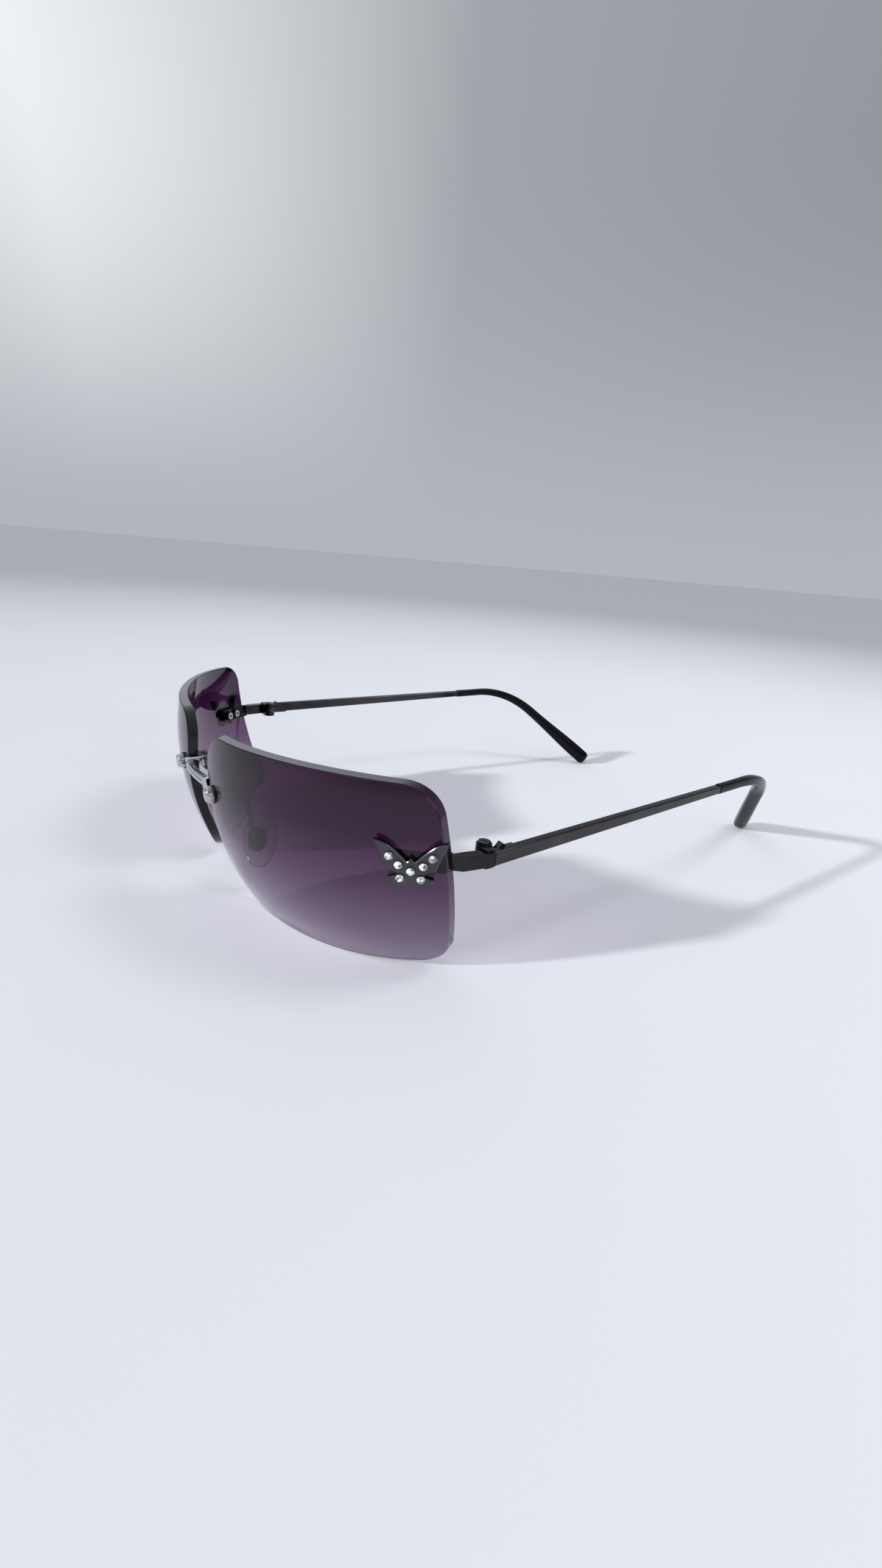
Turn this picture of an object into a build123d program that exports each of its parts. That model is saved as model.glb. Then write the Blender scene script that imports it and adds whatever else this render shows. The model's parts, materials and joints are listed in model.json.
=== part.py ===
from build123d import *
from math import cos, radians, sin, sqrt
import os

os.makedirs("parts", exist_ok=True)

# The wearer's left is +X, the lenses look towards -Y and the temples run back along +Y.
# The table is at Z = 0. Each piece of the left side is built once and then mirrored for the right side.

# Lenses: each one is a piece of a ball-shaped shell, cut to a softly squared outline
lens_width = 65.0
lens_height = 45.0
lens_thickness = 2.2
lens_radius = 63.4
lens_wrap = 27.2
lens_tilt = 9.0
lens_half_span = 41.8
lens_ahead = 83.323
lens_centre_height = 22.945
lens_edge_chamfer = 0.2
corner_shares = {
    "nose_high": (-0.508, 0.396),
    "out_high": (0.435, 0.447),
    "out_low": (0.462, -0.493),
    "nose_low": (-0.438, -0.511),
}
nose_high_radius = 8.0
out_high_radius = 9.0
out_low_radius = 7.0
nose_low_radius = 14.0
top_bow = 2.0
out_bow = 3.0
low_bow = 1.4
nose_bow = 0.5
lens_deep = 30.0

# Screw joint between the bridge and each lens, near the nose
screw_across = -28.6
screw_up = 5.1
screw_radius = 0.7
screw_play = 0.05
gasket_radius = 2.15
gasket_thickness = 0.4
washer_radius = 2.1
washer_thickness = 0.5
dome_radius = 1.8
dome_height = 1.1
dome_round = 0.8
bushing_wall = 0.3
lug_gap = 0.3
lug_width = 4.4
lug_height = 6.3
lug_drop = 0.9
lug_corner = 1.6
lug_thickness = 1.0
tongue_length = 7.4
tongue_height = 2.4
tongue_rise = 1.1
nut_radius = 1.9
nut_height = 2.2
flute_radius = 0.3
flute_count = 8
nut_groove = 0.25
screw_end = 0.5

# Bridge between the lenses
clip_across = 33.2
clip_up = 5.8
clip_wall = 1.5
clip_height = 2.6
clip_lead = 8.8
clip_length = 4.4
clip_edge = 0.35
rod_radius = 0.8
rod_half_length = 8.1
rod_above = 7.05
rod_rise = 0.3
rod_lead = 7.8
rod_bulge = 0.9
strap_depth = 1.5
strap_thickness = 0.7
strap_half_length = 7.5
strap_above = 8.05
strap_lead = 6.1
link_width = 0.9
link_across = 5.6
link_length = 1.6
link_height = 0.9

# Pad arms
arm_wire_radius = 0.6
arm_bend_radius = 1.2
arm_drop = 2.8
arm_run = 4.6
arm_foot = 1.8

# Nose pads and the boxes they rock in
pad_half_span = 12.5
pad_back = 3.1
pad_below = 7.45
pad_splay = 30.0
pad_flare = 20.0
box_width = 4.2
box_length = 6.0
box_depth = 2.2
box_below = 1.3
box_wall = 0.5
pad_screw_radius = 0.4
pad_screw_head = 0.75
pad_screw_head_height = 0.5
pad_screw_end = 0.35
tab_side_gap = 0.15
tab_length = 2.0
tab_below = 0.45
pad_screw_gap = 0.06
pad_width = 8.4
pad_length = 15.0
pad_thickness = 2.2
pad_offset = 1.6
pad_front_round = 0.9
pad_back_round = 0.5
insert_width = 4.0
insert_length = 6.4
insert_thickness = 0.6

# Butterfly on each lens, with its stones and the two studs that hold it
butterfly_across = 25.75
butterfly_up = 4.15
butterfly_gap = 0.1
butterfly_width = 14.4
butterfly_height = 9.9
butterfly_thickness = 1.0
butterfly_bevel = 0.15
upper_wing_shares = [(0.055, 0.2), (0.14, 0.325), (0.257, 0.49), (0.382, 0.606), (0.5, 0.636)]
outer_wing_shares = [(0.5, 0.636), (0.435, 0.424), (0.382, 0.222), (0.333, 0.02)]
slit_shares = [(0.333, 0.02), (0.19, -0.06), (0.19, -0.115), (0.31, -0.165)]
lower_wing_shares = [(0.31, -0.165), (0.285, -0.27), (0.18, -0.364), (0.095, -0.35)]
body_shares = [(0.095, -0.35), (0.06, -0.262), (0.04, -0.285), (0.0, -0.325)]
head_shares = [(0.0, 0.285), (0.035, 0.22), (0.055, 0.2)]
stone_shares = [(0.0, 0.0), (0.167, 0.126), (0.292, 0.313), (0.142, -0.167)]
stone_radius = 0.8
stone_seat = 0.5
stone_crown = 0.45
stone_table_share = 0.55
stone_facets = 8
bezel_width = 0.25
bezel_height = 0.15
stud_spacing = 3.8
stud_rise = 0.3
stud_radius = 0.6
stud_play = 0.05

# End piece: a thin plate behind the lens, and an arm that turns the corner to the hinge
plate_gap = 0.3
plate_thickness = 1.1
plate_in = 4.2
plate_out = 7.6
plate_height = 3.8
plate_rise = 0.5
plate_lift = -0.45
plate_corner = 1.2
shell_reach = 6.0
collar_radius = 1.5
collar_height = 0.8
ring_nut_radius = 1.05
ring_nut_gap = 0.05
ring_nut_height = 0.6
ring_nut_seat = 0.3
stud_end = 0.15
arm_height = 3.2
arm_thickness = 2.0
arm_corner_in = 1.0
arm_corner_back = 7.0
arm_inner_back = 5.9
arm_round = 0.8
arm_turn_angle = -31.4
arm_from_angle = 4.0
joint_out = 2.33
joint_behind = 8.68
joint_above = 5.6
joint_gap = 0.15

# Hinge
barrel_radius = 1.7
barrel_gap = 0.3
barrel_proud = 0.4
knuckle_gap = 0.1
middle_knuckle = 1.6
web_length = 1.5
hinge_pin_radius = 0.7
hinge_play = 0.05
hinge_head_radius = 1.3
hinge_head_height = 0.5
slot_width = 0.35
slot_depth = 0.25
slot_turn = 35.0
hinge_plate_start = 1.9
hinge_plate_length = 4.6
hinge_plate_thickness = 1.0
hinge_plate_height = 2.8
hinge_plate_peak = 1.1
hinge_plate_slope = 1.0

# Temples
temple_turn = 2.7
temple_pitch = 1.6
bar_length = 81.5
bar_end_height = 2.2
bar_edge = 0.4
straight_length = 93.0
bend_radius = 34.0
bend_angle = 47.0
bend_roll = 33.0
bend_steps = 5
core_width = 1.0
core_height = 1.6
core_length = 12.0
core_gap = 0.05
sleeve_start_width = 2.3
sleeve_start_height = 2.7
sleeve_bend_width = 4.2
sleeve_bend_height = 3.7
sleeve_end_width = 4.6
sleeve_end_height = 5.8
sleeve_corner_share = 0.38
sleeve_widen_share = 0.85
end_round_share = 0.62
end_flat_share = 0.37

cut_over = 1.0


def level(angle):
    """The level direction that lies at an angle from +X, turning towards +Y."""
    return Vector(cos(radians(angle)), sin(radians(angle)), 0)


# The left lens: outwards along it, upwards along it and straight out of its front face
lens_out = level(lens_wrap)
lens_front = level(lens_wrap - 90) * cos(radians(lens_tilt)) - Vector(0, 0, sin(radians(lens_tilt)))
lens_rise = lens_front.cross(lens_out)
lens_centre = Vector(lens_half_span, -lens_ahead, lens_centre_height)
lens_ball = lens_centre - lens_front * lens_radius
lens_plane = Plane(origin=lens_centre, x_dir=lens_out, z_dir=lens_front)


def lens_spot(across, up):
    """The plane that touches the front of the left lens at a spot measured from its centre."""
    sag = lens_radius - sqrt(lens_radius**2 - across**2 - up**2)
    spot = lens_centre + lens_out * across + lens_rise * up - lens_front * sag
    front = (spot - lens_ball).normalized()
    return Plane(origin=spot, x_dir=lens_out - front * lens_out.dot(front), z_dir=front)


def local_point(plane, across, up, out):
    """A point given in a plane's own directions."""
    return plane.origin + plane.x_dir * across + plane.y_dir * up + plane.z_dir * out


screw_plane = lens_spot(screw_across, screw_up)
butterfly_plane = lens_spot(butterfly_across, butterfly_up)
screw_axis = Axis(screw_plane.origin, screw_plane.z_dir)
butterfly_axis = Axis(butterfly_plane.origin, butterfly_plane.z_dir)
stud_points = [(-stud_spacing / 2, stud_rise), (stud_spacing / 2, stud_rise)]
screw_hole_radius = screw_radius + screw_play + bushing_wall
stud_hole_radius = stud_radius + stud_play + bushing_wall
lug_back = lens_thickness + lug_gap + lug_thickness
rod_height = lens_centre_height + rod_above
strap_height = lens_centre_height + strap_above

# Lens with its three holes
with BuildPart() as left_lens:
    corners = [Vector(a * lens_width, b * lens_height) for a, b in corner_shares.values()]
    bows = [top_bow, out_bow, low_bow, nose_bow]
    radii = [nose_high_radius, out_high_radius, out_low_radius, nose_low_radius]
    with BuildSketch(lens_plane):
        with BuildLine():
            for i in range(len(corners)):
                start = corners[i]
                end = corners[(i + 1) % len(corners)]
                along = (end - start).normalized()
                outward = Vector(-along.Y, along.X)
                ThreePointArc(start, (start + end) / 2 + outward * bows[i], end)
        make_face()
        for i in range(len(corners)):
            corner = vertices().sort_by_distance(corners[i])[0]
            fillet(corner, radius=radii[i])
    extrude(amount=-lens_deep)
    with Locations(lens_ball):
        Sphere(lens_radius, mode=Mode.INTERSECT)
        Sphere(lens_radius - lens_thickness, mode=Mode.SUBTRACT)
    chamfer(edges(), length=lens_edge_chamfer)
    with BuildSketch(screw_plane.offset(cut_over)):
        Circle(screw_hole_radius)
    extrude(amount=-lens_thickness - cut_over * 2, mode=Mode.SUBTRACT)
    with BuildSketch(butterfly_plane.offset(cut_over)):
        with Locations(*stud_points):
            Circle(stud_hole_radius)
    extrude(amount=-lens_thickness - cut_over * 2, mode=Mode.SUBTRACT)
left_lens.part.label = "left_lens"

# Clear sleeves that line the three holes
with BuildPart() as left_lens_bushings:
    with BuildSketch(screw_plane):
        Circle(screw_hole_radius)
        Circle(screw_radius + screw_play, mode=Mode.SUBTRACT)
    extrude(amount=-lens_thickness - lug_gap)
    with BuildSketch(butterfly_plane.offset(butterfly_gap)):
        with Locations(*stud_points):
            Circle(stud_hole_radius)
            Circle(stud_radius + stud_play, mode=Mode.SUBTRACT)
    extrude(amount=-butterfly_gap - lens_thickness - plate_gap)
left_lens_bushings.part.label = "left_lens_bushings"

# Screw stack at the nose, from the front: domed head, bright washer, black gasket, and the nut behind
with BuildPart() as left_bridge_gasket:
    with BuildSketch(screw_plane):
        Circle(gasket_radius)
        Circle(screw_radius + screw_play, mode=Mode.SUBTRACT)
    extrude(amount=gasket_thickness)
left_bridge_gasket.part.label = "left_bridge_gasket"

with BuildPart() as left_bridge_washer:
    with BuildSketch(screw_plane.offset(gasket_thickness)):
        Circle(washer_radius)
        Circle(screw_radius + screw_play, mode=Mode.SUBTRACT)
    extrude(amount=washer_thickness)
left_bridge_washer.part.label = "left_bridge_washer"

with BuildPart() as left_bridge_screw:
    with BuildSketch(screw_plane.offset(gasket_thickness + washer_thickness)):
        Circle(dome_radius)
    extrude(amount=dome_height)
    fillet(faces().sort_by(screw_axis)[-1].edges(), radius=dome_round)
    with BuildSketch(screw_plane.offset(gasket_thickness + washer_thickness)):
        Circle(screw_radius)
    extrude(amount=-gasket_thickness - washer_thickness - lug_back - nut_height - screw_end)
left_bridge_screw.part.label = "left_bridge_screw"

with BuildPart() as left_bridge_nut:
    with BuildSketch(screw_plane.offset(-lug_back)):
        Circle(nut_radius)
        with PolarLocations(nut_radius, flute_count):
            Circle(flute_radius, mode=Mode.SUBTRACT)
        Circle(screw_radius, mode=Mode.SUBTRACT)
    extrude(amount=-nut_height)
    with BuildSketch(screw_plane.offset(-lug_back - nut_height / 2 + nut_groove / 2)):
        Circle(nut_radius)
        Circle(nut_radius - nut_groove - flute_radius, mode=Mode.SUBTRACT)
    extrude(amount=-nut_groove, mode=Mode.SUBTRACT)
left_bridge_nut.part.label = "left_bridge_nut"

# Bridge: on each side a lug behind the lens and a clip round its edge, with a rod and a strap between them
with BuildPart() as bridge:
    with BuildSketch(screw_plane.offset(-lens_thickness - lug_gap)):
        with Locations((0, -lug_drop)):
            RectangleRounded(lug_width, lug_height, lug_corner)
        with Locations((-tongue_length / 2, tongue_rise)):
            Rectangle(tongue_length, tongue_height)
    extrude(amount=-lug_thickness)
    with BuildSketch(lens_plane.offset(-clip_lead)):
        with Locations((-clip_across, clip_up)):
            RectangleRounded(clip_wall, clip_height, clip_edge)
    extrude(amount=-clip_length)
    with Locations((link_across, -lens_ahead - (rod_lead + strap_lead) / 2, (rod_height + strap_height) / 2)):
        Box(link_width, link_length, link_height)
    with BuildSketch(screw_plane.offset(-lens_thickness - lug_gap + cut_over)):
        Circle(screw_radius + screw_play)
    extrude(amount=-lug_thickness - cut_over * 2, mode=Mode.SUBTRACT)
    mirror(about=Plane.YZ)
    with BuildLine() as rod_line:
        ThreePointArc(
            (-rod_half_length, -lens_ahead - rod_lead, rod_height),
            (0, -lens_ahead - rod_lead - rod_bulge, rod_height + rod_rise),
            (rod_half_length, -lens_ahead - rod_lead, rod_height),
        )
    with BuildSketch(Plane(origin=rod_line.line @ 0, z_dir=rod_line.line % 0)):
        Circle(rod_radius)
    sweep(path=rod_line.line)
    with BuildLine() as strap_line:
        ThreePointArc(
            (-strap_half_length, -lens_ahead - strap_lead, strap_height),
            (0, -lens_ahead - strap_lead - rod_bulge, strap_height),
            (strap_half_length, -lens_ahead - strap_lead, strap_height),
        )
    strap_plane = Plane(origin=strap_line.line @ 0, x_dir=(0, 0, 1), z_dir=strap_line.line % 0)
    with BuildSketch(strap_plane):
        Rectangle(strap_thickness, strap_depth)
    sweep(path=strap_line.line)
bridge.part.label = "bridge"

# Pad frame: the left pad faces the nose, splayed open to the back and flared open to the bottom
pad_run = level(90 - pad_splay)
pad_face = level(180 - pad_splay) * cos(radians(pad_flare)) - Vector(0, 0, sin(radians(pad_flare)))
pad_centre = Vector(pad_half_span, -lens_ahead + pad_back, lens_centre_height - pad_below)
pad_plane = Plane(origin=pad_centre, x_dir=-pad_run, z_dir=pad_face)
pad_side = Plane(origin=pad_centre, x_dir=pad_plane.y_dir, z_dir=pad_plane.x_dir)

# Pad arm: a bent wire from the lug's back face to the back of the pad box
with BuildPart() as left_pad_arm:
    arm_root = local_point(screw_plane, 0, -arm_drop, -lug_back)
    arm_knee = arm_root - screw_plane.z_dir * arm_run
    arm_end = pad_centre - pad_face * box_below
    arm_ankle = arm_end - pad_face * arm_foot
    with BuildLine() as arm_line:
        FilletPolyline(arm_root, arm_knee, arm_ankle, arm_end, radius=arm_bend_radius)
    with BuildSketch(Plane(origin=arm_root, z_dir=-screw_plane.z_dir)):
        Circle(arm_wire_radius)
    sweep(path=arm_line.line)
left_pad_arm.part.label = "left_pad_arm"

with BuildPart() as left_pad_box:
    with BuildSketch(pad_plane.offset(-box_below)):
        SlotOverall(box_length, box_width, rotation=90)
    extrude(amount=box_depth)
    with BuildSketch(pad_plane.offset(-box_below + box_wall)):
        SlotOverall(box_length - box_wall * 2, box_width - box_wall * 2, rotation=90)
    extrude(amount=box_depth, mode=Mode.SUBTRACT)
    with BuildSketch(pad_side):
        Circle(pad_screw_radius)
    extrude(amount=box_width, both=True, mode=Mode.SUBTRACT)
left_pad_box.part.label = "left_pad_box"

with BuildPart() as left_pad_screw:
    with BuildSketch(pad_side.offset(-box_width / 2 - pad_screw_head_height)):
        Circle(pad_screw_head)
    extrude(amount=pad_screw_head_height)
    with BuildSketch(pad_side.offset(-box_width / 2)):
        Circle(pad_screw_radius)
    extrude(amount=box_width + pad_screw_end)
left_pad_screw.part.label = "left_pad_screw"

# The insert rocks on the screw, and its plate sits flush in the back of the pad
with BuildPart() as left_pad_insert:
    with BuildSketch(pad_plane.offset(-tab_below)):
        Rectangle(box_width - box_wall * 2 - tab_side_gap * 2, tab_length)
    extrude(amount=tab_below + pad_offset)
    with BuildSketch(pad_plane.offset(pad_offset)):
        SlotOverall(insert_length, insert_width, rotation=90)
    extrude(amount=insert_thickness)
    with BuildSketch(pad_side):
        Circle(pad_screw_radius + pad_screw_gap)
    extrude(amount=box_width, both=True, mode=Mode.SUBTRACT)
left_pad_insert.part.label = "left_pad_insert"

with BuildPart() as left_nose_pad:
    with BuildSketch(pad_plane.offset(pad_offset)):
        Ellipse(pad_width / 2, pad_length / 2)
    extrude(amount=pad_thickness)
    pad_faces = faces().sort_by(Axis(pad_centre, pad_face))
    fillet(pad_faces[-1].edges(), radius=pad_front_round)
    fillet(faces().sort_by(Axis(pad_centre, pad_face))[0].edges(), radius=pad_back_round)
    with BuildSketch(pad_plane.offset(pad_offset)):
        SlotOverall(insert_length, insert_width, rotation=90)
    extrude(amount=insert_thickness, mode=Mode.SUBTRACT)
left_nose_pad.part.label = "left_nose_pad"

# Butterfly plate with sunk stone seats, raised bezels and two studs
stone_points = []
for a, b in stone_shares:
    stone_points.append((a * butterfly_width, b * butterfly_height))
    if a > 0:
        stone_points.append((-a * butterfly_width, b * butterfly_height))


def wing_points(shares):
    """Outline points of the right half of the butterfly."""
    return [Vector(a * butterfly_width, b * butterfly_height) for a, b in shares]


butterfly_top = butterfly_gap + butterfly_thickness
stone_floor = butterfly_top - stone_seat
stud_length = butterfly_gap + lens_thickness + plate_gap + plate_thickness + collar_height + stud_end
with BuildPart() as left_butterfly:
    with BuildSketch(butterfly_plane.offset(butterfly_gap)):
        with BuildLine():
            Polyline(*wing_points(head_shares))
            Spline(*wing_points(upper_wing_shares))
            Spline(*wing_points(outer_wing_shares))
            Polyline(*wing_points(slit_shares))
            Spline(*wing_points(lower_wing_shares))
            Polyline(*wing_points(body_shares))
            mirror(about=Plane.YZ)
        make_face()
    extrude(amount=butterfly_thickness)
    chamfer(faces().sort_by(butterfly_axis)[-1].edges(), length=butterfly_bevel)
    with BuildSketch(butterfly_plane.offset(butterfly_top)):
        with Locations(*stone_points):
            Circle(stone_radius + bezel_width)
    extrude(amount=bezel_height)
    with BuildSketch(butterfly_plane.offset(stone_floor)):
        with Locations(*stone_points):
            Circle(stone_radius)
    extrude(amount=stone_seat + bezel_height, mode=Mode.SUBTRACT)
    with BuildSketch(butterfly_plane.offset(butterfly_gap)):
        with Locations(*stud_points):
            Circle(stud_radius)
    extrude(amount=-stud_length)
left_butterfly.part.label = "left_butterfly"

with BuildPart() as left_crystals:
    with BuildSketch(butterfly_plane.offset(stone_floor)):
        with Locations(*stone_points):
            Circle(stone_radius)
    extrude(amount=stone_seat + bezel_height)
    for spot in stone_points:
        with BuildSketch(butterfly_plane.offset(butterfly_top + bezel_height)):
            with Locations(spot):
                RegularPolygon(stone_radius, stone_facets)
        with BuildSketch(butterfly_plane.offset(butterfly_top + bezel_height + stone_crown)):
            with Locations(spot):
                RegularPolygon(stone_radius * stone_table_share, stone_facets)
        loft()
left_crystals.part.label = "left_crystals"

# The end piece's plate follows the lens's ball, and its arm leaves it just past the lens's edge
joint_height = lens_centre_height + joint_above
shell_outer = lens_radius - lens_thickness - plate_gap
shell_inner = shell_outer - plate_thickness
arm_outer_radius = sqrt(shell_outer**2 - (lens_ball.Z - joint_height) ** 2)
arm_inner_radius = sqrt(shell_inner**2 - (lens_ball.Z - joint_height) ** 2)


def shell_point(angle, radius):
    """A point round the lens's ball centre, seen from above."""
    return Vector(lens_ball.X, lens_ball.Y) + level(angle) * radius


# Hinge frame: the barrel stands clear of the arm's inner face, level with the joint line
arm_turn_point = shell_point(arm_turn_angle, arm_outer_radius)
joint_half_span = arm_turn_point.X + joint_out
arm_inner = joint_half_span - arm_thickness
hinge_x = arm_inner - barrel_gap - barrel_radius
hinge_y = arm_turn_point.Y + joint_behind
hinge_height = arm_height + barrel_proud * 2
hinge_foot = joint_height - hinge_height / 2
outer_knuckle = (hinge_height - middle_knuckle) / 2 - knuckle_gap
knuckle_feet = [hinge_foot, hinge_foot + hinge_height - outer_knuckle]

with BuildPart() as left_end_piece:
    with BuildSketch(butterfly_plane.offset(-lens_thickness)):
        with BuildLine():
            Polyline(
                (-plate_in, plate_rise - plate_height / 2),
                (plate_out, plate_rise + plate_lift - plate_height / 2),
                (plate_out, plate_rise + plate_lift + plate_height / 2),
                (-plate_in, plate_rise + plate_height / 2),
                close=True,
            )
        make_face()
        fillet(vertices().group_by(Axis.X)[0], radius=plate_corner)
    extrude(amount=-shell_reach)
    with Locations(lens_ball):
        Sphere(shell_outer, mode=Mode.INTERSECT)
        Sphere(shell_inner, mode=Mode.SUBTRACT)
    with BuildSketch(Plane.XY.offset(joint_height - arm_height / 2)):
        with BuildLine():
            corner_point = Vector(joint_half_span - arm_corner_in, hinge_y - arm_corner_back)
            inner_point = Vector(arm_inner - arm_corner_in, hinge_y - arm_inner_back)
            Polyline(
                arm_turn_point,
                corner_point,
                (joint_half_span, hinge_y),
                (arm_inner, hinge_y),
                inner_point,
                shell_point(arm_turn_angle, arm_inner_radius),
            )
            ThreePointArc(
                shell_point(arm_turn_angle, arm_inner_radius),
                shell_point(arm_turn_angle - arm_from_angle / 2, arm_inner_radius),
                shell_point(arm_turn_angle - arm_from_angle, arm_inner_radius),
            )
            Line(
                shell_point(arm_turn_angle - arm_from_angle, arm_inner_radius),
                shell_point(arm_turn_angle - arm_from_angle, arm_outer_radius),
            )
            ThreePointArc(
                shell_point(arm_turn_angle - arm_from_angle, arm_outer_radius),
                shell_point(arm_turn_angle - arm_from_angle / 2, arm_outer_radius),
                arm_turn_point,
            )
        make_face()
        fillet(vertices().sort_by_distance(corner_point)[0], radius=arm_round)
        fillet(vertices().sort_by_distance(inner_point)[0], radius=arm_round)
    extrude(amount=arm_height)
    for foot in knuckle_feet:
        with BuildSketch(Plane.XY.offset(foot)):
            with Locations((hinge_x, hinge_y)):
                Circle(barrel_radius)
            with Locations((hinge_x, hinge_y - joint_gap)):
                Rectangle(barrel_radius + barrel_gap + web_length, barrel_radius, align=(Align.MIN, Align.MAX))
        extrude(amount=outer_knuckle)
    with BuildSketch(Plane.XY.offset(hinge_foot)):
        with Locations((hinge_x, hinge_y)):
            Circle(hinge_pin_radius)
    extrude(amount=hinge_height, mode=Mode.SUBTRACT)
    with BuildSketch(butterfly_plane.offset(-lens_thickness - plate_gap - plate_thickness / 2)):
        with Locations(*stud_points):
            Circle(collar_radius)
    extrude(amount=-plate_thickness / 2 - collar_height)
    with BuildSketch(butterfly_plane.offset(-lens_thickness)):
        with Locations(*stud_points):
            Circle(stud_radius + stud_play)
    extrude(amount=-stud_length, mode=Mode.SUBTRACT)
    with BuildSketch(butterfly_plane.offset(-lens_thickness - plate_gap - plate_thickness - ring_nut_seat)):
        with Locations(*stud_points):
            Circle(ring_nut_radius + ring_nut_gap)
    extrude(amount=-stud_length, mode=Mode.SUBTRACT)
left_end_piece.part.label = "left_end_piece"

with BuildPart() as left_stud_nuts:
    with BuildSketch(butterfly_plane.offset(-lens_thickness - plate_gap - plate_thickness - ring_nut_seat)):
        with Locations(*stud_points):
            Circle(ring_nut_radius)
            Circle(stud_radius, mode=Mode.SUBTRACT)
    extrude(amount=-ring_nut_height)
left_stud_nuts.part.label = "left_stud_nuts"

with BuildPart() as left_hinge_screw:
    with BuildSketch(Plane.XY.offset(hinge_foot)):
        with Locations((hinge_x, hinge_y)):
            Circle(hinge_pin_radius)
    extrude(amount=hinge_height)
    with BuildSketch(Plane.XY.offset(hinge_foot + hinge_height)):
        with Locations((hinge_x, hinge_y)):
            Circle(hinge_head_radius)
    extrude(amount=hinge_head_height)
    with BuildSketch(Plane.XY.offset(hinge_foot + hinge_height + hinge_head_height)):
        with Locations((hinge_x, hinge_y)):
            Rectangle(hinge_head_radius * 3, slot_width, rotation=slot_turn)
    extrude(amount=-slot_depth, mode=Mode.SUBTRACT)
left_hinge_screw.part.label = "left_hinge_screw"

# The temple's directions: back along it and up across it, and the plane it bends in
temple_side = level(temple_turn)
temple_run = level(temple_turn + 90) * cos(radians(temple_pitch)) + Vector(0, 0, sin(radians(temple_pitch)))
temple_rise = temple_side.cross(temple_run)
roll = radians(bend_roll)
bend_side = temple_side * cos(roll) - temple_rise * sin(roll)
bend_rise = temple_rise * cos(roll) + temple_side * sin(roll)
bend_length = bend_radius * radians(bend_angle)
temple_start = Vector(joint_half_span - arm_thickness / 2, hinge_y + joint_gap, joint_height)


def temple_frame(distance):
    """The cross plane of the temple at a distance from the joint: X out of its side, Y up."""
    turned = min(max(distance - straight_length, 0) / bend_radius, radians(bend_angle))
    spot = temple_start + temple_run * min(distance, straight_length)
    spot += (temple_run * sin(turned) - bend_rise * (1 - cos(turned))) * bend_radius
    run = temple_run * cos(turned) - bend_rise * sin(turned)
    side = bend_side * cos(roll) + (bend_rise * cos(turned) + temple_run * sin(turned)) * sin(roll)
    spot += run * max(distance - straight_length - bend_length, 0)
    return Plane(origin=spot, x_dir=side, z_dir=-run)


# The tip is just long enough for its rounded end to stand on the table
tip_frame = temple_frame(straight_length + bend_length)
end_lean = abs(tip_frame.x_dir.Z)
end_round = sleeve_end_height * end_round_share
end_flat = sleeve_end_width * end_flat_share
end_height = end_round * sqrt(1 - end_lean**2) + end_flat * end_lean
tip_length = (tip_frame.origin.Z - end_height) / tip_frame.z_dir.Z + end_round
temple_length = straight_length + bend_length + tip_length

with BuildPart() as left_temple:
    with BuildSketch(Plane(origin=temple_start, x_dir=temple_run, z_dir=temple_side)):
        with BuildLine():
            Polyline(
                (-joint_gap * 2, -arm_height / 2),
                (bar_length, -bar_end_height / 2),
                (bar_length, bar_end_height / 2),
                (-joint_gap * 2, arm_height / 2),
                close=True,
            )
        make_face()
    extrude(amount=arm_thickness / 2, both=True)
    fillet(edges().sort_by(SortBy.LENGTH)[-4:], radius=bar_edge)
    split(bisect_by=Plane(origin=temple_start, z_dir=(0, 1, 0)), keep=Keep.TOP)
    with BuildSketch(temple_frame(bar_length)):
        Rectangle(core_width, core_height)
    extrude(amount=-core_length)
    with BuildSketch(Plane.XY.offset(joint_height - middle_knuckle / 2)):
        with Locations((hinge_x, hinge_y)):
            Circle(barrel_radius)
        with Locations((hinge_x, hinge_y + joint_gap)):
            web_reach = barrel_radius + barrel_gap + arm_thickness / 2
            Rectangle(web_reach, hinge_plate_start + web_length, align=(Align.MIN, Align.MIN))
    extrude(amount=middle_knuckle)
    with BuildSketch(Plane.YZ.offset(arm_inner - hinge_plate_thickness)):
        with BuildLine():
            plate_front = hinge_y + hinge_plate_start
            half_height = hinge_plate_height / 2
            Polyline(
                (plate_front, joint_height - half_height),
                (plate_front + hinge_plate_length, joint_height - half_height),
                (plate_front + hinge_plate_length, joint_height + half_height),
                (plate_front + hinge_plate_slope * 2, joint_height + half_height),
                (plate_front + hinge_plate_slope, joint_height + half_height + hinge_plate_peak),
                (plate_front, joint_height + half_height),
                close=True,
            )
        make_face()
    extrude(amount=hinge_plate_thickness + arm_thickness / 4)
    with BuildSketch(Plane.XY.offset(hinge_foot)):
        with Locations((hinge_x, hinge_y)):
            Circle(hinge_pin_radius + hinge_play)
    extrude(amount=hinge_height, mode=Mode.SUBTRACT)
left_temple.part.label = "left_temple"

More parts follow.
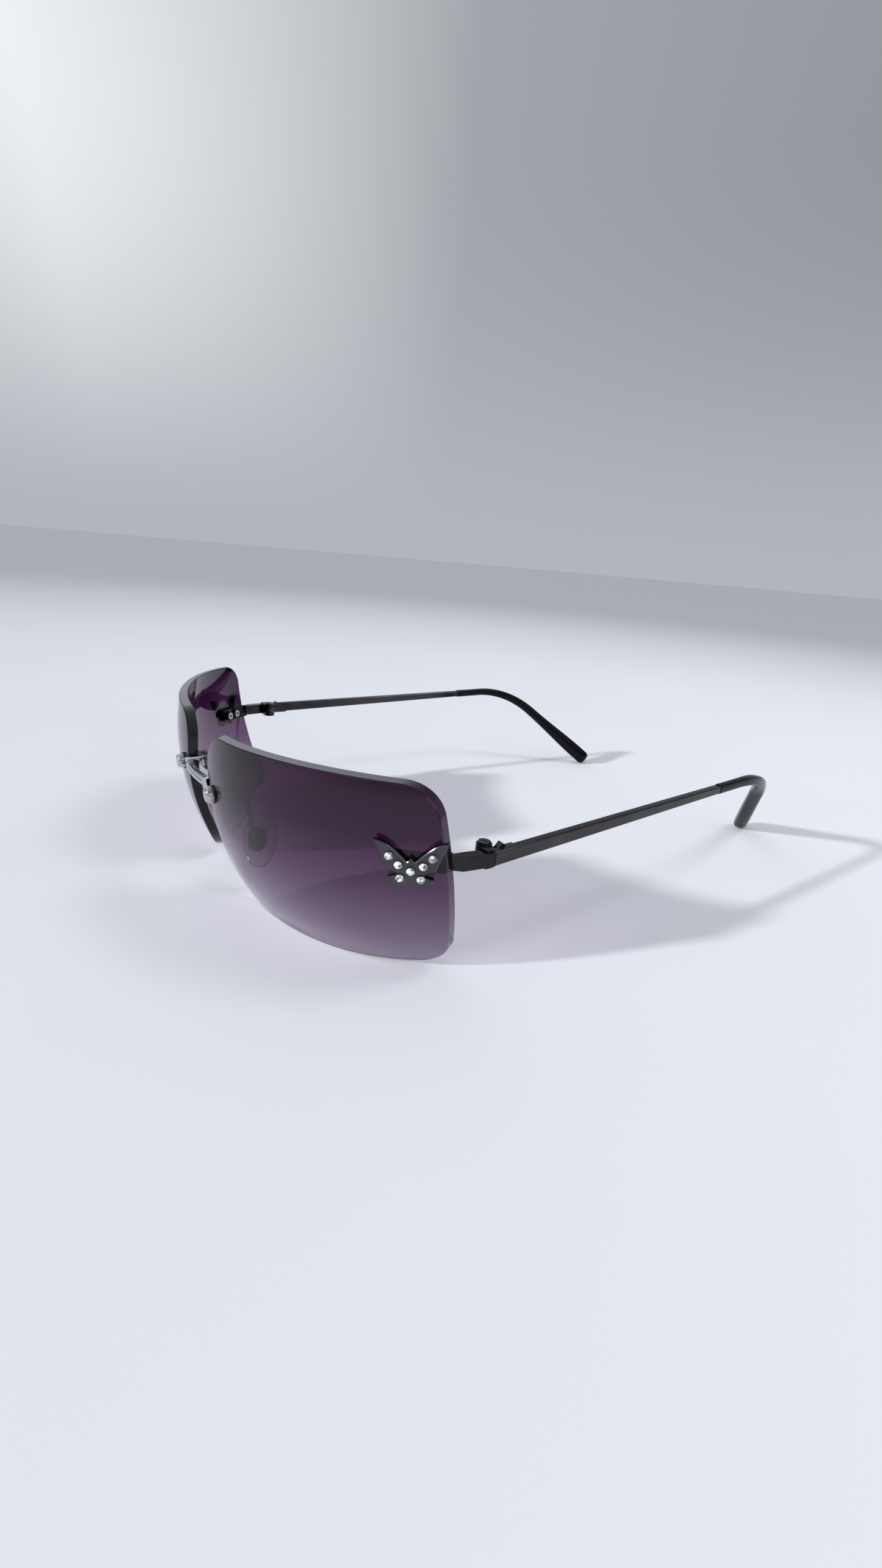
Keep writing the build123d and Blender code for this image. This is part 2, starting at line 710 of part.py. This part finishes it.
# Sleeve stations along the temple, as distance, width and height
straight_shares = [0, 0.33, 0.67, 1]
tip_shares = [0.1, 0.2, 0.3, 0.4, 0.5, 0.6, 0.7, 0.8, 0.9, 1]
sleeve_stations = []
for share in straight_shares:
    spot = bar_length + (straight_length - bar_length) * share
    sleeve_stations.append((spot, sleeve_start_width, sleeve_start_height))
for step in range(1, bend_steps + 1):
    share = step / bend_steps
    width = sleeve_start_width + (sleeve_bend_width - sleeve_start_width) * share
    height = sleeve_start_height + (sleeve_bend_height - sleeve_start_height) * share
    sleeve_stations.append((straight_length + bend_length * share, width, height))
for share in tip_shares:
    widened = min(share / sleeve_widen_share, 1)
    spread = widened**2 * (3 - widened * 2)
    width = sleeve_bend_width + (sleeve_end_width - sleeve_bend_width) * spread
    height = sleeve_bend_height + (sleeve_end_height - sleeve_bend_height) * spread
    sleeve_stations.append((straight_length + bend_length + tip_length * share, width, height))

with BuildPart() as left_temple_tip:
    for distance, width, height in sleeve_stations:
        with BuildSketch(temple_frame(distance)):
            RectangleRounded(width, height, width * sleeve_corner_share)
    loft()
    end_frame = temple_frame(temple_length)
    round_plane = Plane(origin=end_frame.origin, x_dir=-end_frame.z_dir, z_dir=end_frame.x_dir)
    with BuildSketch(round_plane.offset(-temple_length)):
        with Locations((-end_round, 0)):
            Circle(end_round)
            Rectangle(temple_length, temple_length * 2, align=(Align.MAX, Align.CENTER))
    extrude(amount=temple_length * 2, mode=Mode.INTERSECT)
    with BuildSketch(temple_frame(bar_length)):
        Rectangle(core_width + core_gap * 2, core_height + core_gap * 2)
    extrude(amount=-core_length - core_gap, mode=Mode.SUBTRACT)
left_temple_tip.part.label = "left_temple_tip"

export_step(bridge.part, "parts/bridge.step")
left_pieces = [
    left_lens,
    left_lens_bushings,
    left_bridge_gasket,
    left_bridge_washer,
    left_bridge_screw,
    left_bridge_nut,
    left_pad_arm,
    left_pad_box,
    left_pad_screw,
    left_pad_insert,
    left_nose_pad,
    left_butterfly,
    left_crystals,
    left_end_piece,
    left_stud_nuts,
    left_hinge_screw,
    left_temple,
    left_temple_tip,
]
for piece in left_pieces:
    export_step(piece.part, "parts/" + piece.part.label + ".step")
    with BuildPart() as right_piece:
        mirror(piece.part, about=Plane.YZ)
    right_piece.part.label = piece.part.label.replace("left", "right")
    export_step(right_piece.part, "parts/" + right_piece.part.label + ".step")
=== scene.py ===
import json
import math

import bmesh
import bpy
from mathutils import Matrix, Vector


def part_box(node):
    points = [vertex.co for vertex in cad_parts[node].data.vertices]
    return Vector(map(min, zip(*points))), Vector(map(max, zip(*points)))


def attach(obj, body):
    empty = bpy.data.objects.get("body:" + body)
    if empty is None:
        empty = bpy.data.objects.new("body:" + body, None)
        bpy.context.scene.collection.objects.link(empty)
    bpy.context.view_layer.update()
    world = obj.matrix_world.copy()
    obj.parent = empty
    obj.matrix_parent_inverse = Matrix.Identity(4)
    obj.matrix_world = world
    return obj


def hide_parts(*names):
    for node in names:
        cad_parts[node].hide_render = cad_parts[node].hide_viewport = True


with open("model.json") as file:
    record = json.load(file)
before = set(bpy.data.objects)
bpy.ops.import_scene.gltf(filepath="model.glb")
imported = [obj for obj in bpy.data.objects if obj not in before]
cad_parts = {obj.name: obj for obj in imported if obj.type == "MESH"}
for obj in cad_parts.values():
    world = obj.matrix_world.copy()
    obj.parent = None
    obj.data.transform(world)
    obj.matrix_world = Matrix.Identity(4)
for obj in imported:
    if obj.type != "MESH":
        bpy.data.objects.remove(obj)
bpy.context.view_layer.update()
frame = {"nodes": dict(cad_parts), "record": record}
nodes = frame["nodes"]
scene = bpy.context.scene
SIDES = ("left", "right")

# The top of the lens, and the middle of the ball on which the left lens's faces lie
LENS_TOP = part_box("left_lens")[1][2]
LENS_BALL = (0.0131768, -0.0276282, 0.0328629)

# Grain of the metals, and the sharpness of the coat on some of them
CLOUD_SCALE = 120.0
CLOUD_DETAIL = 6.0
GRAIN_SCALE = 1500.0
GRAIN_DETAIL = 4.0
GRAIN_DEPTH = 0.00002
COAT_ROUGH = 0.06

# Lens: its refraction, the film on it, and its polished edge
LENS_IOR = 1.42
FILM_SCALE = 60.0
FILM_DETAIL = 8.0
FILM_ROUGH = 0.012
EDGE_IOR = 1.3
FACE_TURN = 0.5
EDGE_TURN = 0.3
LENS_TINT = [
    (0.0, (0.38, 0.33, 0.40)),
    (0.22, (0.24, 0.18, 0.26)),
    (0.5, (0.12, 0.055, 0.125)),
    (0.75, (0.045, 0.008, 0.044)),
    (1.0, (0.03, 0.003, 0.026)),
]
# Colour of the polished edge by how far it faces up: black, with painted light where it faces up
EDGE_TINT_AND_PAINTED_TOP_LIGHT = [
    (0.3, (0.005, 0.0045, 0.006)),
    (0.75, (0.02, 0.019, 0.023)),
    (1.0, (0.16, 0.165, 0.18)),
]

# Stones: the size and the depth of their facets
STONE_IOR = 1.9
STONE_COAT_ROUGH = 0.02
FACET_SCALE = 1900.0
FACET_DEPTH = 0.0001
FACET_STRENGTH = 0.5

# Clear plastic and silicone
CLEAR_SCALE = 400.0
CLEAR_DETAIL = 5.0


def grey(value):
    return (value, value, value)


def link(tree, a, out, b, into):
    tree.links.new(a.outputs[out], b.inputs[into])


def node(tree, kind, **values):
    """A new node; each value goes to its setting or, where it has none of that name, to its socket."""
    made = tree.nodes.new(kind)
    for key, value in values.items():
        if hasattr(made, key):
            setattr(made, key, value)
        else:
            made.inputs[key].default_value = value
    return made


def ramp(tree, stops):
    """A colour ramp with a colour at each place."""
    made = tree.nodes.new("ShaderNodeValToRGB")
    elements = made.color_ramp.elements
    while len(elements) < len(stops):
        elements.new(0.5)
    for element, (place, colour) in zip(elements, stops):
        element.position = place
        element.color = (*colour, 1)
    return made


def ramped(tree, source, out, stops, shader, into):
    """Drive a socket of the shader by a ramp over another node's output."""
    made = ramp(tree, stops)
    link(tree, source, out, made, "Fac")
    link(tree, made, "Color", shader, into)
    return made


def bumped(tree, source, out, strength, depth, shader):
    made = node(tree, "ShaderNodeBump", Strength=strength, Distance=depth)
    link(tree, source, out, made, "Height")
    link(tree, made, "Normal", shader, "Normal")


def in_object(tree, kind, place, **values):
    """A node that is fed with the object's own coordinates."""
    made = node(tree, kind, **values)
    link(tree, place, "Object", made, "Vector")
    return made


def vector_math(tree, operation, a, a_out, b, b_out):
    made = node(tree, "ShaderNodeVectorMath", operation=operation)
    link(tree, a, a_out, made, 0)
    link(tree, b, b_out, made, 1)
    return made


def scalar_math(tree, operation, a, out):
    made = node(tree, "ShaderNodeMath", operation=operation)
    link(tree, a, out, made, 0)
    return made


def map_range(tree, source, out, low, high, **values):
    """0 to 1 as another node's output goes from low to high."""
    made = node(tree, "ShaderNodeMapRange", **values)
    made.inputs["From Min"].default_value = low
    made.inputs["From Max"].default_value = high
    link(tree, source, out, made, "Value")
    return made


def mixed(tree, share, out, first, second):
    """Two shaders mixed by another node's output."""
    made = tree.nodes.new("ShaderNodeMixShader")
    link(tree, share, out, made, 0)
    tree.links.new(first.outputs[0], made.inputs[1])
    tree.links.new(second.outputs[0], made.inputs[2])
    return made


def new_look(name):
    """A material, its tree, its shader and its coordinates."""
    made = bpy.data.materials.new(name)
    made.use_nodes = True
    tree = made.node_tree
    shader = tree.nodes["Principled BSDF"]
    place = tree.nodes.new("ShaderNodeTexCoord")
    return made, tree, shader, place


def finish_metal(name, base, rough, spread, grain, metal=1.0, coat=0.0, ior=1.5):
    """A metal, paint or black plastic with fine grain in its colour, roughness and surface."""
    made, tree, shader, place = new_look(name)
    shader.inputs["Metallic"].default_value = metal
    shader.inputs["IOR"].default_value = ior
    shader.inputs["Coat Weight"].default_value = coat
    shader.inputs["Coat Roughness"].default_value = COAT_ROUGH
    noise = "ShaderNodeTexNoise"
    coarse = in_object(tree, noise, place, Scale=CLOUD_SCALE, Detail=CLOUD_DETAIL)
    fine = in_object(tree, noise, place, Scale=GRAIN_SCALE, Detail=GRAIN_DETAIL)
    darker = [c * (1 - spread) for c in base]
    lighter = [min(1, c * (1 + spread)) for c in base]
    ramped(tree, coarse, "Fac", [(0.3, darker), (0.7, lighter)], shader, "Base Color")
    smooth = grey(rough * 0.75)
    worn = grey(min(1, rough * 1.5))
    ramped(tree, coarse, "Fac", [(0.25, smooth), (0.8, worn)], shader, "Roughness")
    bumped(tree, fine, "Fac", grain, GRAIN_DEPTH, shader)
    return made


def lens_edge_share(tree, place, shape):
    """1 on the lens's edge, which turns away from the line to the middle of its ball."""
    split = in_object(tree, "ShaderNodeSeparateXYZ", place)
    # The right lens is folded onto the left one
    across = scalar_math(tree, "ABSOLUTE", split, "X")
    folded = tree.nodes.new("ShaderNodeCombineXYZ")
    link(tree, across, "Value", folded, "X")
    link(tree, split, "Y", folded, "Y")
    link(tree, split, "Z", folded, "Z")
    line = node(tree, "ShaderNodeVectorMath", operation="SUBTRACT")
    link(tree, folded, "Vector", line, 0)
    line.inputs[1].default_value = LENS_BALL
    unit = node(tree, "ShaderNodeVectorMath", operation="NORMALIZE")
    link(tree, line, "Vector", unit, 0)
    side = scalar_math(tree, "SIGN", split, "X")
    turn = node(tree, "ShaderNodeCombineXYZ", Y=1, Z=1)
    link(tree, side, "Value", turn, "X")
    flip = vector_math(tree, "MULTIPLY", shape, "True Normal", turn, "Vector")
    facing = vector_math(tree, "DOT_PRODUCT", flip, "Vector", unit, "Vector")
    size = scalar_math(tree, "ABSOLUTE", facing, "Value")
    return map_range(tree, size, "Value", FACE_TURN, EDGE_TURN)


def tinted_lens(name):
    """Graduated plum tint: dark at the brow and lighter towards the cheek, with black polished edges
    that carry painted light where they face up.
    """
    made, tree, shader, place = new_look(name)
    shader.inputs["IOR"].default_value = LENS_IOR
    shader.inputs["Transmission Weight"].default_value = 1.0
    film = in_object(tree, "ShaderNodeTexNoise", place, Scale=FILM_SCALE, Detail=FILM_DETAIL)
    split = in_object(tree, "ShaderNodeSeparateXYZ", place)
    height = map_range(tree, split, "Z", 0.0, LENS_TOP)
    tint = ramped(tree, height, "Result", LENS_TINT, shader, "Base Color")
    smear = [(0.35, grey(0.0)), (0.75, grey(FILM_ROUGH))]
    ramped(tree, film, "Fac", smear, shader, "Roughness")
    # Each of the lens's two faces takes half of the tint from the light of its shadow
    shade = tree.nodes.new("ShaderNodeBsdfTransparent")
    half = node(tree, "ShaderNodeGamma", Gamma=0.5)
    link(tree, tint, "Color", half, "Color")
    link(tree, half, "Color", shade, "Color")
    paths = tree.nodes.new("ShaderNodeLightPath")
    body = mixed(tree, paths, "Is Shadow Ray", shader, shade)

    # The polished edge is black below, with painted light in its colour where it faces up
    shape = tree.nodes.new("ShaderNodeNewGeometry")
    edge = node(tree, "ShaderNodeBsdfPrincipled", IOR=EDGE_IOR)
    upward = tree.nodes.new("ShaderNodeSeparateXYZ")
    link(tree, shape, "True Normal", upward, "Vector")
    ramped(tree, upward, "Z", EDGE_TINT_AND_PAINTED_TOP_LIGHT, edge, "Base Color")
    ramped(tree, film, "Fac", [(0.3, grey(0.12)), (0.7, grey(0.24))], edge, "Roughness")
    rim = lens_edge_share(tree, place, shape)
    whole = mixed(tree, rim, "Result", body, edge)
    tree.links.new(whole.outputs[0], tree.nodes["Material Output"].inputs["Surface"])
    return made


def bright_stone(name):
    """Cut stones whose facets carry painted glints and painted dark reflections."""
    made, tree, shader, place = new_look(name)
    shader.inputs["IOR"].default_value = STONE_IOR
    shader.inputs["Coat Weight"].default_value = 1.0
    shader.inputs["Coat Roughness"].default_value = STONE_COAT_ROUGH
    cut = in_object(tree, "ShaderNodeTexVoronoi", place, Scale=FACET_SCALE)
    # Painted glints and painted dark reflections: each facet cell is coloured from dark grey to white
    painted_glint = [
        (0.3, grey(0.12)),
        (0.4, grey(0.4)),
        (0.5, grey(0.85)),
        (0.62, (0.96, 0.97, 1.0)),
    ]
    ramped(tree, cut, "Color", painted_glint, shader, "Base Color")
    ramped(tree, cut, "Distance", [(0.0, grey(0.05)), (1.0, grey(0.3))], shader, "Roughness")
    bumped(tree, cut, "Distance", FACET_STRENGTH, FACET_DEPTH, shader)
    return made


def clear_stuff(name, base, rough, ior, weight=1.0):
    """Clear plastic or silicone, with faint cloudiness."""
    made, tree, shader, place = new_look(name)
    shader.inputs["IOR"].default_value = ior
    shader.inputs["Transmission Weight"].default_value = weight
    cloud = in_object(tree, "ShaderNodeTexNoise", place, Scale=CLEAR_SCALE, Detail=CLEAR_DETAIL)
    milky = [c * 0.94 for c in base]
    ramped(tree, cloud, "Fac", [(0.3, milky), (0.7, base)], shader, "Base Color")
    wear = [(0.3, grey(rough * 0.8)), (0.75, grey(rough * 1.3))]
    ramped(tree, cloud, "Fac", wear, shader, "Roughness")
    return made


# Name, colour, roughness, spread of the colour, strength of the grain, and what differs from bare metal
METALS = (
    ("bridge_chrome", (0.55, 0.56, 0.58), 0.07, 0.06, 0.03, {}),
    ("black_gasket", (0.012, 0.012, 0.013), 0.55, 0.3, 0.1, {"metal": 0.0}),
    ("bright_steel", (0.52, 0.52, 0.54), 0.08, 0.06, 0.04, {}),
    ("dark_steel", (0.11, 0.11, 0.115), 0.22, 0.3, 0.08, {}),
    ("pad_wire", (0.06, 0.06, 0.065), 0.22, 0.2, 0.05, {}),
    ("dark_box", (0.02, 0.021, 0.023), 0.3, 0.3, 0.08, {}),
    ("gunmetal", (0.055, 0.055, 0.06), 0.18, 0.25, 0.05, {"coat": 0.5}),
    ("end_black", (0.035, 0.0335, 0.036), 0.13, 0.25, 0.04, {}),
    ("gunmetal_temple", (0.06, 0.057, 0.06), 0.12, 0.25, 0.04, {}),
    ("tip_gloss", (0.002, 0.002, 0.0024), 0.1, 0.3, 0.03, {"metal": 0.0, "ior": 1.25}),
)
looks = {
    "lens_tint": tinted_lens("lens_tint"),
    "clear_sleeve": clear_stuff("clear_sleeve", (0.9, 0.9, 0.92), 0.12, 1.49),
    "pad_core": clear_stuff("pad_core", (0.75, 0.76, 0.77), 0.3, 1.45, 0.8),
    "clear_silicone": clear_stuff("clear_silicone", (0.86, 0.87, 0.89), 0.05, 1.43),
    "crystal": bright_stone("crystal"),
}
for name, base, rough, spread, grain, rest in METALS:
    looks[name] = finish_metal(name, base, rough, spread, grain, **rest)

# Every CAD node takes the look of its slot; small bevels catch the light on its sharp edges
BEVELS = {
    "lens": 0.0003,
    "bridge": 0.00012,
    "bridge_nut": 0.00008,
    "bridge_washer": 0.0001,
    "bridge_gasket": 0.00008,
    "end_piece": 0.00018,
    "hinge_screw": 0.0001,
    "temple": 0.0002,
    "pad_box": 0.0001,
    "pad_screw": 0.00008,
    "stud_nuts": 0.00008,
    "butterfly": 0.00006,
}
BEVEL_STEPS = 2
SHARP_ANGLE = math.radians(35)

slots = {row["node"]: row["material_slot"] for row in frame["record"]["subparts"]}
for name, piece in nodes.items():
    piece.data.materials.clear()
    piece.data.materials.append(looks[slots[name]])
    kind = name.split("_", 1)[1] if name.startswith(SIDES) else name
    if kind in BEVELS:
        bevel = piece.modifiers.new("edges", "BEVEL")
        bevel.width = BEVELS[kind]
        bevel.segments = BEVEL_STEPS
        bevel.limit_method = "ANGLE"
        bevel.angle_limit = SHARP_ANGLE
        bevel.harden_normals = False

# Temple tips: moulded sleeves with rounded ends, along the same line as the CAD temples.
# The line starts at the left joint, runs back and slightly up, bends down and ends straight.
JOINT = Vector((0.066357, -0.050448, 0.028545))
SPLAY_DEGREES = 2.7
CLIMB_DEGREES = 1.6
ROLL = math.radians(33)
STRAIGHT = 0.093
BEND_RADIUS = 0.034
BEND_TURN = math.radians(47)
BEND = BEND_RADIUS * BEND_TURN
END_RUN = 0.0355445
TOTAL = STRAIGHT + BEND + END_RUN

# Width and height of the sleeve at its start, after the bend and at its end
START = (0.0023, 0.0027)
BENT = (0.0042, 0.0037)
END = (0.0046, 0.0058)
WIDEN_SHARE = 0.85
END_ROUND = 0.0026
SLEEVE_FROM = 0.0815
LIP = 0.0002
LIP_START = 0.00008
LIP_DROP_SHARE = 0.08

# How finely the sleeve is divided, and how square its outline is
ROUND_POINTS = 40
LONG_STEPS = 110
END_STEPS = 16
SQUARE_POWER = 0.62


def level(degrees):
    """A level direction, turned from +X."""
    angle = math.radians(degrees)
    return Vector((math.cos(angle), math.sin(angle), 0))


side0 = level(SPLAY_DEGREES)
climb = math.radians(CLIMB_DEGREES)
run0 = level(90 + SPLAY_DEGREES) * math.cos(climb) + Vector((0, 0, math.sin(climb)))
rise0 = side0.cross(run0)
bend_side = side0 * math.cos(ROLL) - rise0 * math.sin(ROLL)
bend_rise = rise0 * math.cos(ROLL) + side0 * math.sin(ROLL)


def temple_frame(distance):
    """Place, side and rise of the left temple at a distance from the joint."""
    turned = min(max(distance - STRAIGHT, 0) / BEND_RADIUS, BEND_TURN)
    cos, sin = math.cos(turned), math.sin(turned)
    spot = JOINT + run0 * min(distance, STRAIGHT)
    spot += (run0 * sin - bend_rise * (1 - cos)) * BEND_RADIUS
    run = run0 * cos - bend_rise * sin
    side = bend_side * math.cos(ROLL) + (bend_rise * cos + run0 * sin) * math.sin(ROLL)
    spot += run * max(distance - STRAIGHT - BEND, 0)
    return spot, side, run.cross(side) * -1


def sleeve_size(distance):
    """Width and height of the sleeve at a distance from the joint."""
    bent = min(max((distance - STRAIGHT) / BEND, 0), 1)
    spread = min(max((distance - STRAIGHT - BEND) / (END_RUN * WIDEN_SHARE), 0), 1)
    spread = spread * spread * (3 - 2 * spread)
    if spread > 0:
        return [b + (e - b) * spread for b, e in zip(BENT, END)]
    return [a + (b - a) * bent for a, b in zip(START, BENT)]


def stations():
    """Distances of the sleeve's rings: its lip, its length and its rounded end."""
    first = SLEEVE_FROM + LIP
    last = TOTAL - END_ROUND
    made = [SLEEVE_FROM, SLEEVE_FROM + LIP_START, first]
    made += [first + (last - SLEEVE_FROM - LIP) * i / LONG_STEPS for i in range(1, LONG_STEPS + 1)]
    quarter = math.radians(90)
    made += [last + END_ROUND * math.sin(quarter * i / END_STEPS) for i in range(1, END_STEPS)]
    return made


def ring_points(distance):
    """Outline of the left sleeve at a distance from the joint."""
    spot, side, rise = temple_frame(distance)
    width, height = sleeve_size(distance)
    into = max(distance - (TOTAL - END_ROUND), 0) / END_ROUND
    height *= math.sqrt(max(1 - into**3, 0))
    width *= math.sqrt(max(1 - into**2, 0))
    lip = min((distance - SLEEVE_FROM) / LIP, 1)
    ease = 1 - LIP_DROP_SHARE * (1 - math.sqrt(lip))
    points = []
    for i in range(ROUND_POINTS):
        angle = 2 * math.pi * i / ROUND_POINTS
        c, s = math.cos(angle), math.sin(angle)
        x = math.copysign(abs(c) ** SQUARE_POWER, c) * width / 2 * ease
        y = math.copysign(abs(s) ** SQUARE_POWER, s) * height / 2 * ease
        points.append(spot + side * x + rise * y)
    return points


def sleeve(name, mirrored):
    """The sleeve of one temple: rings along its line, closed at both ends."""
    mesh = bmesh.new()

    def vertex(point):
        if mirrored:
            point.x = -point.x
        return mesh.verts.new(point)

    rings = [[vertex(point) for point in ring_points(distance)] for distance in stations()]
    for a, b in zip(rings, rings[1:]):
        for i in range(ROUND_POINTS):
            j = (i + 1) % ROUND_POINTS
            mesh.faces.new((a[i], a[j], b[j], b[i]))
    mesh.faces.new(rings[0])
    end = vertex(temple_frame(TOTAL)[0])
    for i in range(ROUND_POINTS):
        mesh.faces.new((rings[-1][i], rings[-1][(i + 1) % ROUND_POINTS], end))
    bmesh.ops.recalc_face_normals(mesh, faces=mesh.faces)
    for face in mesh.faces:
        face.smooth = len(face.verts) < 5
    data = bpy.data.meshes.new(name)
    mesh.to_mesh(data)
    mesh.free()
    piece = bpy.data.objects.new(name, data)
    scene.collection.objects.link(piece)
    data.materials.append(looks["tip_gloss"])
    return piece


for side_name in SIDES:
    piece = sleeve(side_name + "_tip_sleeve", side_name == "right")
    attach(piece, side_name + "_temple")
    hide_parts(side_name + "_temple_tip")

# Camera at the photo's place: where it stands, and its backward and rightward directions
CAMERA_PLACE = Vector((0.15324, -0.126453, 0.08393))
CAMERA_BACK = Vector((0.76834, -0.54604, 0.33381))
CAMERA_RIGHT = Vector((0.55390, 0.82860, 0.08050))
CAMERA_LENS = 25.75
CAMERA_SENSOR = 36
CAMERA_NEAR = 0.005

right = (CAMERA_RIGHT - CAMERA_BACK * CAMERA_RIGHT.dot(CAMERA_BACK)).normalized()
up = CAMERA_BACK.cross(right)
camera = bpy.data.objects.new("camera", bpy.data.cameras.new("camera"))
scene.collection.objects.link(camera)
attitude = Matrix((right, up, CAMERA_BACK)).transposed().to_4x4()
camera.matrix_world = Matrix.Translation(CAMERA_PLACE) @ attitude
camera.data.sensor_fit = "HORIZONTAL"
camera.data.sensor_width = CAMERA_SENSOR
camera.data.lens = CAMERA_LENS
camera.data.clip_start = CAMERA_NEAR
scene.camera = camera

# Pale floor with painted shade: its colour darkens into the backdrop's grey away from the object
FLOOR_SIZE = 60
FLOOR_ROUGH = 0.85
FLOOR_SHINE = 0.05
MOTTLE_SCALE = 8.0
MOTTLE_DETAIL = 3.0
FLOOR_PALE = [(0.3, (0.765, 0.785, 0.83)), (0.7, (0.785, 0.805, 0.85))]
# Painted shade: the floor's colour far from the object, and where the darkening starts and ends
FLOOR_FAR_SHADE = (0.47, 0.49, 0.53, 1)
FADE_FROM = 0.25
FADE_TO = 1.4
EASED = {"interpolation_type": "SMOOTHSTEP"}

bpy.ops.mesh.primitive_plane_add(size=FLOOR_SIZE, location=(0, 0, 0))
floor = bpy.context.object
floor.name = "floor"
floor_look, tree, floor_shader, place = new_look("floor")
floor_shader.inputs["Roughness"].default_value = FLOOR_ROUGH
floor_shader.inputs["Specular IOR Level"].default_value = FLOOR_SHINE
noise = "ShaderNodeTexNoise"
mottle = in_object(tree, noise, place, Scale=MOTTLE_SCALE, Detail=MOTTLE_DETAIL)
pale = ramp(tree, FLOOR_PALE)
link(tree, mottle, "Fac", pale, "Fac")
# Painted shade: the floor's colour darkens with distance from the object
away = node(tree, "ShaderNodeVectorMath", operation="LENGTH")
link(tree, place, "Object", away, 0)
fade = map_range(tree, away, "Value", FADE_FROM, FADE_TO, **EASED)
floor_with_shade = node(tree, "ShaderNodeMix", data_type="RGBA")
tree.links.new(fade.outputs["Result"], floor_with_shade.inputs[0])
tree.links.new(pale.outputs["Color"], floor_with_shade.inputs[6])
floor_with_shade.inputs[7].default_value = FLOOR_FAR_SHADE
tree.links.new(floor_with_shade.outputs[2], floor_shader.inputs["Base Color"])
floor.data.materials.append(floor_look)

# Low daylight from the front, and two soft boxes
KEY_PLACE = (-0.13, -0.78, 0.33)
KEY_POWER = 2.8
KEY_ANGLE = math.radians(3.5)
TOP_PLACE = (0.3, 0.4, 0.75)
TOP_POWER = 1.5
TOP_SIZE = 0.25
SIDE_PLACE = (0.75, 0.1, 0.4)
SIDE_POWER = 0.4
SIDE_SIZE = 0.35
LOW_TARGET = (0.02, 0, 0)
HIGH_TARGET = (0.02, 0, 0.02)


def lamp(name, kind, place, target, power):
    """A lamp aimed at its target, and unseen by the camera."""
    made = bpy.data.lights.new(name, kind)
    made.energy = power
    holder = bpy.data.objects.new(name, made)
    scene.collection.objects.link(holder)
    holder.location = place
    holder.rotation_mode = "QUATERNION"
    aim = Vector(target) - Vector(place)
    holder.rotation_quaternion = aim.to_track_quat("-Z", "Y")
    holder.visible_camera = False
    return made


key = lamp("key", "SUN", KEY_PLACE, LOW_TARGET, KEY_POWER)
key.angle = KEY_ANGLE
top = lamp("top", "AREA", TOP_PLACE, LOW_TARGET, TOP_POWER)
top.size = TOP_SIZE
side = lamp("side", "AREA", SIDE_PLACE, HIGH_TARGET, SIDE_POWER)
side.size = SIDE_SIZE

# Soft grey surroundings: they change with the direction and are even near the horizon
WORLD_STRENGTH = 1.1
SKY_TOWARDS = (-0.554, -0.829, 0)
SKY = [
    (0.0, (0.42, 0.435, 0.47)),
    (0.25, (0.26, 0.27, 0.295)),
    (0.5, (0.33, 0.34, 0.37)),
    (0.72, (0.78, 0.8, 0.83)),
    (0.84, (0.6, 0.62, 0.65)),
    (0.96, (0.28, 0.29, 0.31)),
]
HAZE = (0.405, 0.42, 0.455, 1)
HAZE_TO = 0.45

world = bpy.data.worlds.new("world")
scene.world = world
world.use_nodes = True
tree = world.node_tree
tree.nodes.clear()
out = tree.nodes.new("ShaderNodeOutputWorld")
soft = node(tree, "ShaderNodeBackground", Strength=WORLD_STRENGTH)
place = tree.nodes.new("ShaderNodeTexCoord")
towards = node(tree, "ShaderNodeVectorMath", operation="DOT_PRODUCT")
link(tree, place, "Generated", towards, 0)
towards.inputs[1].default_value = SKY_TOWARDS
share = map_range(tree, towards, "Value", -1, 1)
sky = ramp(tree, SKY)
link(tree, share, "Result", sky, "Fac")
split = tree.nodes.new("ShaderNodeSeparateXYZ")
link(tree, place, "Generated", split, "Vector")
rise = map_range(tree, split, "Z", 0, HAZE_TO, **EASED)
haze = node(tree, "ShaderNodeMix", data_type="RGBA")
haze.inputs[6].default_value = HAZE
tree.links.new(rise.outputs["Result"], haze.inputs[0])
tree.links.new(sky.outputs["Color"], haze.inputs[7])
tree.links.new(haze.outputs[2], soft.inputs["Color"])
tree.links.new(soft.outputs[0], out.inputs["Surface"])
scene.view_settings.view_transform = "Standard"
